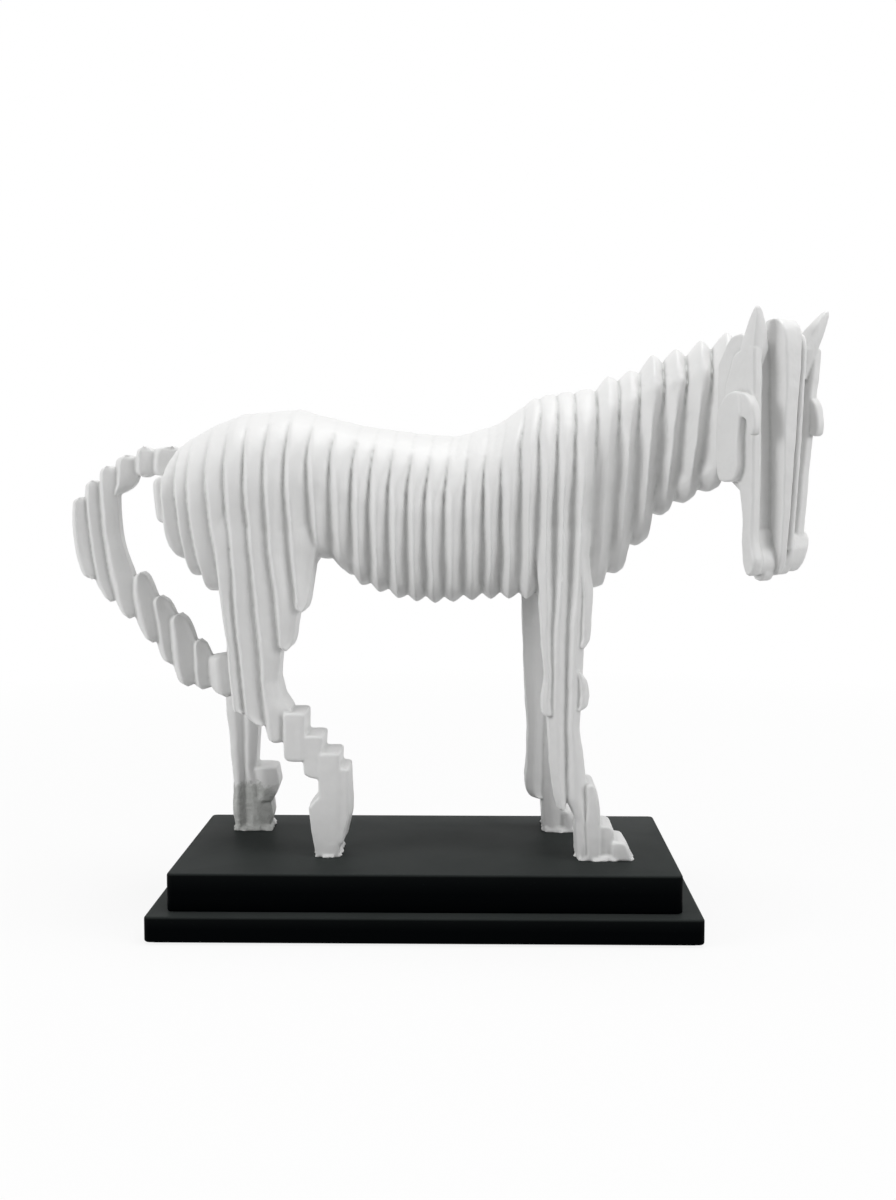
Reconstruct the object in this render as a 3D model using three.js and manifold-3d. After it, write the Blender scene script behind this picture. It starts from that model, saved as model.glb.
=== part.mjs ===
// A ribbed horse figurine on a two-tier black plinth: cast pieces pinned together and bolted down.
// Millimetres, +X towards the horse's chest, +Y towards its left side, +Z up.
// The origin is in the middle of the underside of the felt.
import * as THREE from "three";
import { mergeVertices } from "three/addons/utils/BufferGeometryUtils.js";
import Module from "manifold-3d";

const wasm = await Module();
wasm.setup();
const { Manifold, Mesh } = wasm;

// Plinth: two boards and the felt under them.
const upperLength = 240;
const upperDepth = 130;
const upperThick = 18;
const tierStep = 9;
const lowerThick = 12;
const cornerRadius = 3;
const edgeRound = 1.2;
const feltThick = 1;
const feltInset = 4;

// Hardware. Every hole is wider than what passes through it by the clearance on each side.
const clearance = 0.3;
const pinRadius = 3;
const pinLength = 26;
const studRadius = 2;
const studInLeg = 24;
const washerRadius = 5;
const washerThick = 1;
const nutAcross = 7;
const nutThick = 3.2;
const studTip = 1;
const screwRadius = 1.75;
const screwHeadRadius = 3.5;
const screwHeadThick = 2.4;
const screwBite = 12;
const screwInset = 12;

// Heights of the figure are above the top of the plinth.
const midY = 7;
const legCut = 118;
const seamGap = 0.3;
const slatBevel = 1.9;
const cornerCut = 1.8;
const sharpTurn = 0.9;
const flatness = 0.08;
const roundSides = 12;
const sameSpot = 1e-4;
const cornerShare = 0.32;
const bevelShare = 0.8;
const overrun = 1;
const sliceStep = 0.5;

// The ribs stand in planes that fan out from a line far below the horse.
const fanDrop = 1250;
const fanHeight = 182;
const ringPoints = 16;

// How far each pair of legs stands from side to side.
const rightHind = { outer: -31.5, inner: -4, slopeFrom: 118 };
const leftHind = { outer: 47.5, inner: 25, slopeFrom: 118 };
const rightFore = { outer: -37, inner: -10, slopeFrom: 118 };
const leftFore = { outer: 50, inner: 24, slopeFrom: 118 };

const lowerTop = feltThick + lowerThick;
const plinthTop = lowerTop + upperThick;
const counterbore = washerThick + nutThick + studTip + clearance;

const colours = {
  resin: { color: 0xf1f1ef, roughness: 0.5, metalness: 0 },
  lacquer: { color: 0x0d0d0f, roughness: 0.35, metalness: 0 },
  steel: { color: 0xb4b6ba, roughness: 0.35, metalness: 1 },
  felt: { color: 0x1c1c1e, roughness: 0.95, metalness: 0 },
};

// Turns a closed three.js geometry into a solid that can be joined and cut.
function solid(geometry) {
  const bare = geometry.index ? geometry.toNonIndexed() : geometry.clone();
  bare.deleteAttribute("normal");
  bare.deleteAttribute("uv");
  const merged = mergeVertices(bare, sameSpot);
  return new Manifold(
    new Mesh({
      numProp: 3,
      vertProperties: merged.attributes.position.array,
      triVerts: new Uint32Array(merged.index.array),
    }),
  );
}

// Turns a solid back into a three.js geometry.
function geometryOf(shape) {
  const mesh = shape.simplify(flatness).getMesh();
  const positions = new Float32Array(mesh.numVert * 3);
  for (let i = 0; i < mesh.numVert; i++) {
    const from = i * mesh.numProp;
    positions.set(mesh.vertProperties.subarray(from, from + 3), i * 3);
  }
  const geometry = new THREE.BufferGeometry();
  geometry.setAttribute("position", new THREE.BufferAttribute(positions, 3));
  geometry.setIndex(new THREE.BufferAttribute(new Uint32Array(mesh.triVerts), 1));
  const flat = geometry.toNonIndexed();
  flat.computeVertexNormals();
  return flat;
}

const join = (shapes) => Manifold.union(shapes);

const turnAt = (before, corner, after) =>
  corner.clone().sub(before).cross(after.clone().sub(corner)) < 0
    ? -corner.clone().sub(before).angleTo(after.clone().sub(corner))
    : corner.clone().sub(before).angleTo(after.clone().sub(corner));

// The points of a closed outline, anticlockwise, with each sharp corner cut across.
function cutCorners(points, cut) {
  const corners = points.map(([x, y]) => new THREE.Vector2(x, y));
  if (THREE.ShapeUtils.isClockWise(corners)) corners.reverse();
  return corners.flatMap((corner, i) => {
    const before = corners[(i + corners.length - 1) % corners.length];
    const after = corners[(i + 1) % corners.length];
    if (Math.abs(turnAt(before, corner, after)) < sharpTurn) return [corner];
    return [before, after].map((next) =>
      corner.clone().lerp(next, Math.min(cornerShare, cut / corner.distanceTo(next))),
    );
  });
}

// The widest bevel that leaves every side of an outline some length.
function bevelRoom(corners) {
  const count = corners.length;
  const turns = corners.map((corner, i) =>
    turnAt(corners[(i + count - 1) % count], corner, corners[(i + 1) % count]),
  );
  const rooms = corners.map((corner, i) => {
    const shrink = Math.tan(turns[i] / 2) + Math.tan(turns[(i + 1) % count] / 2);
    return shrink > 0 ? (bevelShare * corner.distanceTo(corners[(i + 1) % count])) / shrink : Infinity;
  });
  return Math.min(...rooms);
}

// A plate with bevelled faces, drawn in its own XY plane and thick along Z from 0 to thick.
function plate(points, thick, bevel, cut = cornerCut) {
  const corners = cutCorners(points, cut);
  const eased = Math.min(bevel, bevelRoom(corners));
  const geometry = new THREE.ExtrudeGeometry(new THREE.Shape(corners), {
    depth: thick - 2 * eased,
    bevelThickness: eased,
    bevelSize: eased,
    bevelOffset: -eased,
    bevelSegments: 1,
  });
  return geometry.translate(0, 0, eased);
}

// A slice of the horse: points are [x, height], and the plate is thick from y0 to y1.
function slat(points, y0, y1, bevel = slatBevel) {
  const geometry = plate(points, y1 - y0, bevel);
  return solid(geometry.rotateX(Math.PI / 2).translate(0, y1, 0));
}

function block(x0, x1, y0, y1, z0, z1) {
  const geometry = new THREE.BoxGeometry(x1 - x0, y1 - y0, z1 - z0);
  return solid(geometry.translate((x0 + x1) / 2, (y0 + y1) / 2, (z0 + z1) / 2));
}

// A round bar between two points.
function bar(radius, from, to, sides = roundSides) {
  const start = new THREE.Vector3(...from);
  const end = new THREE.Vector3(...to);
  const along = end.clone().sub(start);
  const geometry = new THREE.CylinderGeometry(radius, radius, along.length(), sides);
  const turn = new THREE.Quaternion().setFromUnitVectors(
    new THREE.Vector3(0, 1, 0),
    along.clone().normalize(),
  );
  const middle = start.add(end).multiplyScalar(0.5);
  return solid(geometry.applyQuaternion(turn).translate(middle.x, middle.y, middle.z));
}

// Reads a curve given by hand-picked [x, value] points at one x.
function along(curve, x) {
  const last = curve.length - 1;
  if (x <= curve[0][0]) return curve[0][1];
  if (x >= curve[last][0]) return curve[last][1];
  const i = curve.findIndex(([at]) => at > x);
  const [x0, v0] = curve[i - 1];
  const [x1, v1] = curve[i];
  return v0 + ((v1 - v0) * (x - x0)) / (x1 - x0);
}

// How the body changes along x, from the rump to the poll: the heights of its back and belly, its half
// width, its middle from side to side, how square its lower half is, and how deep its grooves are.
const back = [
  [-130, 201], [-114, 208.5], [-94, 215], [-66, 217.5], [-54, 213.8], [-34, 208.8], [-4, 204.8],
  [12, 204.2], [31, 210], [41, 216.5], [50, 222.5], [60, 225], [80, 228], [85, 233.6], [95, 236],
  [105, 243.9], [115, 246.4], [126, 250], [136, 253.2], [148, 256],
];
const belly = [
  [-125, 144], [-118, 137], [-110, 130], [-102, 127], [-97, 100], [-70, 100], [-65, 114],
  [-61, 124], [-57, 139], [-52, 141.5], [-46, 138], [-38, 132], [-29, 127.8], [-20, 125], [-11, 122],
  [6, 120.6], [26, 123], [49, 124], [54, 98], [77, 98], [81, 127], [85, 128.5], [95, 134.5],
  [105, 150.5], [115, 165.5], [125, 172], [135, 177.5], [147, 183],
];
const halfWidth = [
  [-130, 24], [-120, 32], [-105, 38], [-92, 40], [-70, 40], [-50, 37], [0, 38.5], [35, 40],
  [54, 44], [75, 44], [82, 38], [95, 31], [115, 24], [135, 19], [148, 16],
];
const middle = [[-130, midY], [-100, 8], [-66, 8], [-50, midY], [85, midY], [115, -2], [150, -24]];
const squareness = [
  [-125, 3.2], [-104, 5], [-60, 5], [-48, 2.5], [35, 2.4], [50, 5], [77, 5], [84, 2.8], [148, 2.3],
];
const grooveTop = [[-130, 0.4], [-60, 0.8], [40, 1.2], [80, 3], [105, 6], [148, 8]];
const grooveSide = [[-130, 2.8], [-60, 3.6], [0, 3.6], [80, 3.8], [148, 4.2]];
const grooveBelly = [[-130, 2], [-50, 2.8], [50, 3.2], [100, 2.6], [148, 2.2]];

// Widths of the ribs along the body, from the rump to the poll.
const trunkRibs = [
  7.2, 6.7, 8.6, 8.6, 10, 10, 9.5, 10.5, 10, 10.5, 8.6, 9, 9, 9, 9.1, 9.5, 9.2, 8.6, 9.5, 8.5, 8.3,
  8.1, 9.9,
];
const neckRibs = [10.5, 9.4, 10.4, 10, 10.4, 10.8, 9];
const rumpX = -128.3;
const crestShare = 0.4;
const rumpSunk = 0.4;

const fan = (x, z) => x * (1 + (z - fanHeight) / fanDrop);

// One ring of the body at x, sunk by a share of the groove depth there.
function ring(x, sunk) {
  const top = along(back, x) - sunk * along(grooveTop, x);
  const low = along(belly, x) + sunk * along(grooveBelly, x);
  const wide = along(halfWidth, x) - sunk * along(grooveSide, x);
  const power = 2 / along(squareness, x);
  const y = along(middle, x);
  const points = [];
  for (let i = 0; i < ringPoints; i++) {
    const angle = (2 * Math.PI * i) / ringPoints;
    const s = Math.sin(angle);
    const c = Math.cos(angle);
    const share = c > 0 ? 1 : power;
    const z = (top + low) / 2 + ((top - low) / 2) * Math.sign(c) * Math.abs(c) ** share;
    points.push([fan(x, z), y - wide * Math.sign(s) * Math.abs(s) ** share, z]);
  }
  return points;
}

// A closed body through rings of equal count, the first and last filled by fans.
function loft(rings) {
  const count = rings[0].length;
  const positions = rings.flat(2);
  const index = [];
  for (let r = 0; r + 1 < rings.length; r++) {
    for (let i = 0; i < count; i++) {
      const a = r * count + i;
      const b = r * count + ((i + 1) % count);
      index.push(a, b, a + count, b, b + count, a + count);
    }
  }
  const end = (rings.length - 1) * count;
  for (let i = 1; i + 1 < count; i++) {
    index.push(0, i + 1, i);
    index.push(end, end + i, end + i + 1);
  }
  const geometry = new THREE.BufferGeometry();
  geometry.setAttribute("position", new THREE.Float32BufferAttribute(positions, 3));
  geometry.setIndex(index);
  return solid(geometry);
}

// A ribbed length of the body: a groove, then a crest with sloping sides, for each rib. The first groove
// is sunk by its own share.
function ribbed(start, widths, firstSunk) {
  const rings = [];
  let x = start;
  widths.forEach((width, i) => {
    rings.push(ring(x, i === 0 ? firstSunk : 1));
    rings.push(ring(x + (width * (1 - crestShare)) / 2, 0));
    rings.push(ring(x + (width * (1 + crestShare)) / 2, 0));
    x += width;
  });
  rings.push(ring(x, 1));
  return loft(rings);
}

const sum = (list) => list.reduce((total, value) => total + value, 0);
const neckX = rumpX + sum(trunkRibs);

// The slices that show below the belly, each as [x, height] points, for one side of the horse.
const thighSlats = [
  [[-106, 172], [-99.5, 128], [-96, 105], [-95.6, 96], [-93, 71], [-86.3, 69], [-88, 100], [-92, 172]],
  [[-97, 172], [-88, 100], [-86.5, 68], [-81.6, 64], [-78.2, 63.5], [-80, 100], [-84, 172]],
  [[-88, 172], [-80, 100], [-78.5, 57], [-76, 55.5], [-67.6, 55.5], [-66, 72], [-70.3, 78],
    [-72.2, 86], [-70.6, 100], [-74, 172]],
  [[-78, 172], [-71.5, 105], [-70, 100.5], [-66, 100.3], [-63.2, 108.4], [-61.8, 120], [-63, 172]],
  [[-68, 172], [-62.6, 119.2], [-58.8, 119], [-56.3, 130], [-55, 138], [-55, 172]],
];
const hindSteps = [
  [[-69, 70.5], [-68.2, 48], [-66, 46.5], [-58.7, 46.5], [-58.7, 70.5]],
  [[-60, 59.4], [-58.8, 39.7], [-51.4, 37.6], [-50.2, 59.4]],
  [[-52, 51], [-52, 1], [-53, 0], [-43, 0], [-42, 8], [-42, 51]],
  [[-43.2, 43.6], [-43.2, 6], [-40.4, 6], [-37.6, 18], [-37.8, 43.6]],
  [[-51.6, 30], [-57, 24.5], [-53.4, 0], [-50, 0], [-50, 30]],
];
const rumpSlats = [
  [[-133.4, 183], [-133, 166], [-131.5, 161], [-124, 161], [-126, 186]],
  [[-128, 190], [-125.6, 163], [-123.6, 150], [-120.4, 143.6], [-114, 142.6], [-118, 190]],
  [[-121, 180], [-118.4, 150], [-116, 137.6], [-113.6, 135.3], [-105, 135.3], [-111, 180]],
  [[-113.4, 170], [-110, 140], [-107, 130], [-104.6, 127.8], [-96, 127.8], [-102, 170]],
];
const rumpHalf = 31;

const foreSlats = [
  [[53.6, 172], [54.3, 125.6], [55.8, 106], [57.3, 87.4], [55.9, 77.7], [56.3, 69.6], [60.5, 69.6],
    [61.5, 172]],
  [[60.5, 172], [59.5, 110], [58.8, 69], [59.4, 58], [60, 44], [62, 29.5], [63.5, 24.5], [69.4, 24],
    [69, 68], [70.6, 172]],
  [[69.8, 172], [68.3, 68], [68.6, 30], [72.5, 18.8], [72.6, 0], [78.4, 0], [78.2, 29.5], [75.4, 49],
    [73.4, 63], [73.8, 72], [75, 100], [78.5, 172]],
  [[73.5, 172], [73.4, 103], [75, 102.7], [78.1, 106.5], [79, 121], [79.8, 131], [80.5, 172]],
  [[72.6, 92], [72.6, 72], [76.9, 74.2], [77.9, 80.2], [76.8, 86.6]],
];
const foreFoot = [
  [[77.4, 37.6], [77.4, 0], [84, 0], [83.6, 22], [82.6, 30], [80.6, 37]],
  [[83, 17], [83, 0], [90.4, 0], [90.4, 14], [88.4, 17]],
  [[89.5, 9.5], [89.5, 0], [99, 0], [98, 4], [95.5, 9]],
];

// The left legs stand straighter, and the left hind leg a little further back.
const leftThighBack = -9;
const leftThighLow = 96;
const shoulderRise = 40;
const shoulderRun = 12;
const leftHindSlats = [
  [[-104, 120], [-106, 74], [-105.4, 60], [-103.8, 47], [-102.5, 26], [-102.4, 8], [-101, 0], [-96, 0],
    [-96.4, 60], [-92, 120]],
  [[-97.5, 120], [-97.6, 60], [-97, 0], [-84.6, 0], [-82.2, 8], [-83, 14], [-91, 33], [-89.6, 60],
    [-82, 120]],
  [[-93, 33.5], [-91.6, 15], [-82.6, 15], [-79, 24], [-80.8, 33.5]],
];
const leftForeSlats = [
  [[45, 172], [47.5, 123.3], [48.7, 100], [49.8, 74], [50.9, 53], [50.5, 35], [49.4, 27], [50, 21.6],
    [52.1, 18.5], [58, 17], [60, 74], [60, 172]],
  [[58, 172], [58, 17], [59.4, 0], [70, 0], [70, 30], [68, 74], [72, 172]],
  [[68.8, 11], [68.8, 0], [76.5, 0], [75.6, 8], [73.6, 11]],
];

// Keeps what lies behind the rib plane at x.
function behindPlane(shape, x) {
  const slope = x / fanDrop;
  const length = Math.hypot(1, slope);
  return shape.trimByPlane([-1 / length, 0, slope / length], (-x * (1 - fanHeight / fanDrop)) / length);
}

const cutBelow = (shape, z) => shape.trimByPlane([0, 0, 1], z);
const cutAbove = (shape, z) => shape.trimByPlane([0, 0, -1], -z);
const moved = (points, dx) => points.map(([x, z]) => [x + dx, z]);

// The slices of one leg. Every other one is a little thinner, as if cut by hand.
function slices(list, side) {
  const low = Math.min(side.outer, side.inner);
  const high = Math.max(side.outer, side.inner);
  return list.map((points, i) => slat(points, low + sliceStep * (i % 2), high - sliceStep * (i % 2)));
}

// Slopes the top of a leg in towards the body, so that it runs out under the ribs.
function slopedTop(shape, side) {
  const outward = Math.sign(side.outer - side.inner);
  const length = Math.hypot(shoulderRun, shoulderRise);
  const normal = [0, (-outward * shoulderRise) / length, -shoulderRun / length];
  const offset = normal[1] * side.outer + normal[2] * side.slopeFrom;
  return shape.trimByPlane(normal, offset);
}

const rightHindWhole = slopedTop(join(slices([...thighSlats, ...hindSteps], rightHind)), rightHind);
const leftThighs = slices(thighSlats.map((points) => moved(points, leftThighBack)), leftHind);
const leftHindWhole = slopedTop(
  join([cutBelow(join(leftThighs), leftThighLow), ...slices(leftHindSlats, leftHind)]),
  leftHind,
);
const rightForeWhole = slopedTop(join(slices([...foreSlats, ...foreFoot], rightFore)), rightFore);
const leftForeWhole = slopedTop(join(slices(leftForeSlats, leftFore)), leftFore);

// The tail, from its root round the bend to its tip, which ends against the inside of the right hind leg.
const tailRootTop = 198;
const tailRootX = fan(rumpX, tailRootTop) - seamGap;
const tailThick = 15;
const tailStagger = 0.8;
const tailSlats = [
  [[-176.4, 173.9], [-177, 160], [-175.2, 145], [-172.4, 135], [-169.5, 133], [-164.6, 133], [-169.4, 158],
    [-169.6, 173.9]],
  [[-171, 168], [-170.4, 182.3], [-162.6, 182.3], [-161, 158], [-154.6, 122.6], [-160.6, 120.8],
    [-166.6, 133]],
  [[-163, 178], [-162.4, 189.4], [-155, 189.4], [-154.4, 167], [-154.1, 157.6], [-151, 145],
    [-147, 133], [-144.5, 114], [-151.4, 112.8], [-156.4, 122], [-162, 158]],
  [[-156, 174], [-155, 194.8], [-143.6, 194.8], [-144, 184], [-146.8, 179], [-152, 176]],
  [[-145, 184], [-144.2, 199], [-136.4, 199], [-136.4, 183.3]],
  [[-138, 184.6], [-137.4, tailRootTop], [tailRootX, tailRootTop], [tailRootX, 184.8]],
  [[-148, 126], [-146.6, 134.5], [-143.8, 136.8], [-140.8, 136.2], [-136.6, 127], [-132.4, 108],
    [-134, 101.3], [-140.4, 101.4], [-146.2, 113]],
  [[-138.8, 121], [-136, 124.6], [-132, 124.5], [-128.8, 120], [-123.8, 108], [-123.4, 92.4],
    [-125.4, 90.2], [-132.6, 90.4], [-136.6, 104]],
  [[-129.4, 112], [-126.6, 115.7], [-122.6, 115.5], [-119.4, 110], [-115.6, 100], [-115.4, 79.6],
    [-124.4, 79.2], [-128.4, 92]],
  [[-118.6, 99], [-116.4, 102.8], [-112, 102.7], [-108.4, 94], [-106.8, 78.4], [-115.2, 77.2],
    [-118.4, 82]],
  [[-110, 93], [-107.4, 95.6], [-92, 95.4], [-92, 78], [-99, 73.6], [-104, 74.2], [-109, 78.6]],
];
const tipPinRadius = 1.5;
const tipPinLength = 14;
const tipPinX = -93.6;
const tipPinZ = 86.5;

// The head hangs from the poll and is turned towards the horse's right. Its slices run the other way, from
// face to nape: points are [forward of the head's axis, height], thick across the head, right to left.
const headTurn = 62;
const headX = 160;
const headY = -46;
const napeDepth = 22;
const cheek = [
  [-14, 185], [-15.5, 192], [-15, 212], [-10, 220], [-2, 223.4], [8, 222], [15, 216], [17, 208],
  [16.6, 203], [12, 203], [10, 212], [3, 213], [1, 205], [1, 186], [-2, 182], [-11, 181.8],
];
const rightPlate = [
  [0.5, 143.5], [3.6, 137.8], [8, 139.5], [10, 146], [7.5, 152], [7, 158], [7, 244], [-8, 240], [-14, 226],
  [-14, 190], [-3, 181], [0.5, 165], [0, 152],
];
const leftPlate = [
  [2, 150], [7, 150], [7, 244], [-8, 240], [-14, 226], [-14, 190], [-3, 181], [0.5, 165],
];
const skull = [
  [2, 244], [-3, 250], [-12, 248], [-napeDepth, 236], [-napeDepth, 190], [-16, 184], [-4, 176],
  [0, 150], [1, 143], [3, 150], [3, 200],
];
const noseRidge = [
  [-6, 251], [0, 256.4], [8, 255.8], [13, 251], [14.4, 243], [14, 200], [12.4, 160], [11.4, 146],
  [8, 139.6], [0, 140], [-4, 170],
];
const sideRidge = [[-4, 246], [9, 250], [12, 244], [12, 190], [10.4, 150], [4, 150], [-4, 170]];
const temple = [[-2, 242], [-8, 242], [-16, 236], [-16, 184], [-6, 184]];
const muzzle = [
  [-2, 143], [2, 139.2], [9, 139.4], [11.4, 145], [10, 150.4], [4, 150.4], [4, 158], [-2, 160],
];
const nostrilWing = [[-2, 150], [1, 145.4], [7, 145], [10, 148], [9.4, 154], [5, 158.4], [-2, 158.6]];
const lowerLip = [[-2, 141], [0, 136], [4.6, 135.4], [6.4, 138], [6.4, 143]];
const earBase = 240;
const ears = [
  { base: [-5, 8, -15.5, -4], tip: [5, -12.6, 261.4] },
  { base: [-4, 9, 9.5, 23], tip: [7.5, 25.6, 260.6] },
];
const headSlices = [
  { points: cheek, right: -19.6, left: -14.8, lean: 0 },
  { points: rightPlate, right: -15.6, left: -10.4, lean: 0 },
  { points: skull, right: -12, left: 16, lean: 0 },
  { points: temple, right: 10, left: 20.6, lean: 0 },
  { points: muzzle, right: -12, left: 9, lean: 0 },
  { points: lowerLip, right: -5.7, left: 1.7, lean: 0 },
  { points: noseRidge, right: -5.6, left: 4.4, lean: 0.015 },
  { points: sideRidge, right: 5, left: 7.6, lean: 0.045 },
  { points: nostrilWing, right: 7, left: 19, lean: 0 },
  { points: leftPlate, right: 13.2, left: 17.8, lean: 0.1 },
  { points: cheek, right: 16.2, left: 20.6, lean: 0.04 },
];
const headBevel = 0.9;
const earTip = 0.8;
const earTaper = 0.9;
const earRoot = 8;
const leanHeight = 182;

// Leans a solid sideways about a height.
function leaned(shape, lean) {
  return shape.transform([1, 0, 0, 0, 0, 1, 0, 0, 0, lean, 1, 0, 0, -lean * leanHeight, 0, 1]);
}

// Puts a solid that is drawn about the head's own axis in its place on the figure.
const onHead = (shape) => shape.rotate([0, 0, -headTurn]).translate([headX, headY, 0]);

// Where the pins and studs of each leg stand.
const legs = {
  right_hind: { whole: rightHindWhole, side: rightHind, pinX: -81, studX: -47.2 },
  left_hind: { whole: leftHindWhole, side: leftHind, pinX: -86, studX: -92.5 },
  right_fore: { whole: rightForeWhole, side: rightFore, pinX: 66, studX: 78.2 },
  left_fore: { whole: leftForeWhole, side: leftFore, pinX: 60, studX: 65 },
};

const middleOf = (side) => (side.outer + side.inner) / 2;
const legPin = (leg) => [
  [leg.pinX, middleOf(leg.side), legCut - pinLength / 2],
  [leg.pinX, middleOf(leg.side), legCut + pinLength / 2],
];
const legStud = (leg) => [
  [leg.studX, middleOf(leg.side), -(plinthTop - feltThick) + clearance],
  [leg.studX, middleOf(leg.side), studInLeg],
];

// The same run with its two ends moved on by the clearance, for the hole that holds it.
function roomFor([from, to]) {
  const start = new THREE.Vector3(...from);
  const end = new THREE.Vector3(...to);
  const extra = end.clone().sub(start).setLength(clearance);
  return [start.sub(extra).toArray(), end.add(extra).toArray()];
}

const drilled = (shape, radius, runs) =>
  shape.subtract(join(runs.map((run) => bar(radius + clearance, ...roomFor(run)))));

const headForward = new THREE.Vector3(1, 0, 0).applyAxisAngle(
  new THREE.Vector3(0, 0, 1),
  THREE.MathUtils.degToRad(-headTurn),
);
const fromAxis = (forward, z) => [headX + headForward.x * forward, headY + headForward.y * forward, z];

const levelPin = (x, z) => [[x - pinLength / 2, midY, z], [x + pinLength / 2, midY, z]];
const neckPinHigh = 205;
const neckPinLow = 160;
const headPinHeight = 216;
const tailPinHeight = 191;
const pins = {
  neck_pin_upper: levelPin(neckX, neckPinHigh),
  neck_pin_lower: levelPin(neckX, neckPinLow),
  head_pin: [-napeDepth - pinLength / 2, -napeDepth + pinLength / 2].map((forward) =>
    fromAxis(forward, headPinHeight),
  ),
  tail_root_pin: levelPin(tailRootX, tailPinHeight),
};
for (const [name, leg] of Object.entries(legs)) pins[name + "_pin"] = legPin(leg);

const tailRight = rightHind.inner + seamGap;
const tipPin = [
  [tipPinX, rightHind.inner - tipPinLength / 2, tipPinZ],
  [tipPinX, rightHind.inner + tipPinLength / 2, tipPinZ],
];

// The castings.
function trunk() {
  const body = ribbed(rumpX, trunkRibs, rumpSunk);
  const rump = rumpSlats.map((points) => slat(points, midY - rumpHalf, midY + rumpHalf));
  const thighs = Object.values(legs).map((leg) => leg.whole);
  const whole = behindPlane(cutBelow(join([body, ...rump, ...thighs]), legCut), neckX);
  const runs = Object.entries(pins).filter(([name]) => name !== "head_pin").map(([, run]) => run);
  return drilled(whole, pinRadius, runs);
}

function legBelow(name) {
  const leg = legs[name];
  const part = cutAbove(leg.whole, legCut);
  const holes = [drilled(part, pinRadius, [legPin(leg)])];
  const bolted = drilled(holes[0], studRadius, [legStud(leg)]);
  return name === "right_hind" ? drilled(bolted, tipPinRadius, [tipPin]) : bolted;
}

function tail() {
  const sheets = tailSlats.map((points, i) =>
    slat(points, tailRight + tailStagger * (i % 2), tailRight + tailThick - tailStagger * (i % 2)),
  );
  return drilled(drilled(join(sheets), pinRadius, [pins.tail_root_pin]), tipPinRadius, [tipPin]);
}

function neck() {
  const whole = ribbed(neckX + seamGap, neckRibs, 1);
  const nape = headForward.dot(new THREE.Vector3(headX, headY, 0)) - napeDepth - seamGap;
  const trimmed = whole.trimByPlane([-headForward.x, -headForward.y, 0], -nape);
  return drilled(trimmed, pinRadius, [pins.neck_pin_upper, pins.neck_pin_lower, pins.head_pin]);
}

// An ear is a pointed wedge: a four-cornered foot, sunk into the head, drawn up to its tip.
function ear({ base: [x0, x1, y0, y1], tip: [x, y, z] }) {
  const foot = [x0, x1].flatMap((px) => [y0, y1].map((py) => [px, py, earBase]));
  const sunk = foot.map(([px, py, pz]) => [px * earTaper, py, pz - earRoot]);
  const point = [-earTip, earTip].flatMap((dx) => [[x + dx, y, z - earTip], [x, y + dx / 2, z]]);
  return Manifold.hull([...foot, ...sunk, ...point]);
}

function head() {
  const slabs = headSlices.map(({ points, right, left, lean }) =>
    leaned(slat(points, right, left, headBevel), lean),
  );
  return drilled(onHead(join([...slabs, ...ears.map(ear)])), pinRadius, [pins.head_pin]);
}

// A board with rounded corners and eased edges.
function board(length, depth, thick) {
  const x = length / 2;
  const y = depth / 2;
  return plate([[-x, -y], [x, -y], [x, y], [-x, y]], thick, edgeRound, cornerRadius);
}

const lowerLength = upperLength + 2 * tierStep;
const lowerDepth = upperDepth + 2 * tierStep;
const screwPlaces = [
  [-upperLength / 2 + screwInset, -upperDepth / 2 + screwInset],
  [upperLength / 2 - screwInset, -upperDepth / 2 + screwInset],
  [-upperLength / 2 + screwInset, upperDepth / 2 - screwInset],
  [upperLength / 2 - screwInset, upperDepth / 2 - screwInset],
];
const studPlaces = Object.values(legs).map((leg) => [leg.studX, middleOf(leg.side)]);

function upright(radius, [x, y], z0, z1, sides = roundSides) {
  return bar(radius, [x, y, z0], [x, y, z1], sides);
}

function upperTier() {
  const whole = solid(board(upperLength, upperDepth, upperThick).translate(0, 0, lowerTop));
  const studHoles = studPlaces.map((at) =>
    upright(studRadius + clearance, at, lowerTop - overrun, plinthTop + overrun),
  );
  const screwHoles = screwPlaces.map((at) =>
    upright(screwRadius + clearance, at, lowerTop - overrun, lowerTop + screwBite + clearance),
  );
  return whole.subtract(join([...studHoles, ...screwHoles]));
}

function lowerTier() {
  const whole = solid(board(lowerLength, lowerDepth, lowerThick).translate(0, 0, feltThick));
  const under = feltThick - overrun;
  const holes = [
    ...studPlaces.map((at) => upright(studRadius + clearance, at, under, lowerTop + overrun)),
    ...studPlaces.map((at) => upright(washerRadius + clearance, at, under, feltThick + counterbore)),
    ...screwPlaces.map((at) => upright(screwRadius + clearance, at, under, lowerTop + overrun)),
    ...screwPlaces.map((at) =>
      upright(screwHeadRadius + clearance, at, under, feltThick + screwHeadThick + 2 * clearance),
    ),
  ];
  return whole.subtract(join(holes));
}

function feltSheet() {
  const x = lowerLength / 2 - feltInset;
  const y = lowerDepth / 2 - feltInset;
  return block(-x, x, -y, y, 0, feltThick);
}

function screw([x, y]) {
  const bottom = feltThick + clearance;
  const head = upright(screwHeadRadius, [x, y], bottom, bottom + screwHeadThick);
  return head.add(upright(screwRadius, [x, y], bottom + screwHeadThick / 2, lowerTop + screwBite));
}

const washerTop = feltThick + counterbore - clearance;

function washer([x, y]) {
  const disc = upright(washerRadius, [x, y], washerTop - washerThick, washerTop);
  return disc.subtract(upright(studRadius + clearance, [x, y], 0, washerTop + overrun));
}

function nut([x, y]) {
  const top = washerTop - washerThick;
  const body = upright(nutAcross / Math.sqrt(3), [x, y], top - nutThick, top, 6);
  return body.subtract(upright(studRadius + clearance, [x, y], 0, top + overrun));
}

// The figure's own group stands on the plinth, so its heights start there.
const part = new THREE.Group();
const figure = new THREE.Group();
figure.position.z = plinthTop;
part.add(figure);

const materials = Object.fromEntries(
  Object.entries(colours).map(([name, look]) => [name, new THREE.MeshStandardMaterial(look)]),
);

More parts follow.
